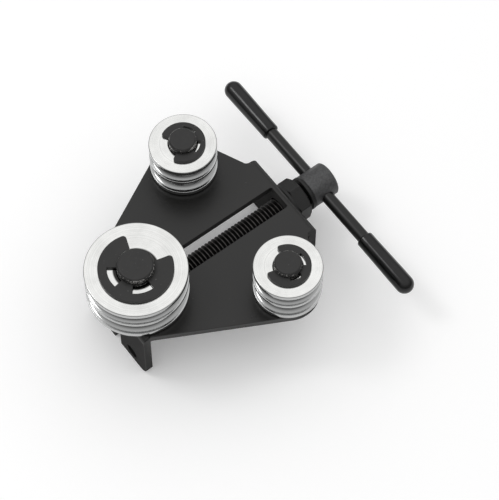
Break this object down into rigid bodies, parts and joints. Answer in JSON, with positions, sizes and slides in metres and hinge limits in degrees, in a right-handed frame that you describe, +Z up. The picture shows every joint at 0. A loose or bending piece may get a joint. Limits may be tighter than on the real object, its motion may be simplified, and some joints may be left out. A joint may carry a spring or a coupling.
{
  "type": "manual tube bender",
  "caption": "Bench tube bender: a forming roller on a screw-driven carriage is drawn between grooved guide rollers on a bent steel deck, turned by a sliding tommy bar.",
  "frame": {"origin": "centre of the bounding box's bottom face, on the surface the two legs stand on, with the forming roller fully back", "axes": "+X along the lead screw from the vise leg to the tommy bar, +Y towards the left guide roller, +Z up along the roller axles"},
  "size_m": [0.1366, 0.143, 0.0625],
  "materials": {
    "deck": "satin black powder coat",
    "zinc": "turned, bright zinc plate",
    "axle_black": "black oxide",
    "clip_black": "black phosphate spring steel",
    "screw_black": "black oxide, oiled",
    "block_black": "black oxide, machined",
    "fastener": "black oxide",
    "head_black": "black oxide over a rough turned rim",
    "bar_black": "satin black paint",
    "grip_vinyl": "glossy dipped vinyl"
  },
  "bodies": {
    "frame": {"base_plate": "deck", "guide_axle_left": "axle_black", "guide_axle_right": "axle_black", "guide_shim_left": "zinc", "guide_shim_right": "zinc", "guide_clip_left": "clip_black", "guide_clip_right": "clip_black", "stud_washer_left": "fastener", "stud_washer_right": "fastener", "stud_nut_left": "fastener", "stud_nut_right": "fastener", "screw_nut": "fastener", "screw_nut_washer": "fastener"},
    "left_roller": {"guide_roller_left": "zinc"},
    "right_roller": {"guide_roller_right": "zinc"},
    "carriage": {"slide_block": "block_black", "forming_axle": "axle_black", "forming_shim": "zinc", "forming_clip": "clip_black"},
    "main_roller": {"forming_roller": "zinc"},
    "screw": {"lead_screw": "screw_black", "screw_head": "head_black", "stop_washer": "fastener", "thrust_washer": "fastener", "tail_clip": "clip_black"},
    "bar": {"tommy_bar": "bar_black", "bar_grip_left": "grip_vinyl", "bar_grip_right": "grip_vinyl"}
  },
  "joints": [
    {"name": "carriage_slide", "type": "slide", "parent": "frame", "child": "carriage", "axis": [1, 0, 0], "range_m": [0, 0.07036]},
    {"name": "screw_turn", "type": "hinge", "parent": "carriage", "child": "screw", "pos_m": [0, 0, 0.0225], "axis": [1, 0, 0], "range_deg": [0, 12960]},
    {"name": "forming_roller_spin", "type": "hinge", "parent": "carriage", "child": "main_roller", "pos_m": [-0.04425, 0, 0.047], "axis": [0, 0, 1], "continuous": true},
    {"name": "left_roller_spin", "type": "hinge", "parent": "frame", "child": "left_roller", "pos_m": [0.01175, 0.0405, 0.047], "axis": [0, 0, 1], "continuous": true},
    {"name": "right_roller_spin", "type": "hinge", "parent": "frame", "child": "right_roller", "pos_m": [0.01175, -0.0405, 0.047], "axis": [0, 0, 1], "continuous": true},
    {"name": "bar_slide", "type": "slide", "parent": "screw", "child": "bar", "axis": [0, 1, 0], "range_m": [-0.0278, 0.0278]}
  ],
  "couplings": [
    {"joint": "carriage_slide", "follows": "screw_turn", "m_per_rad": 0.00031099}
  ]
}
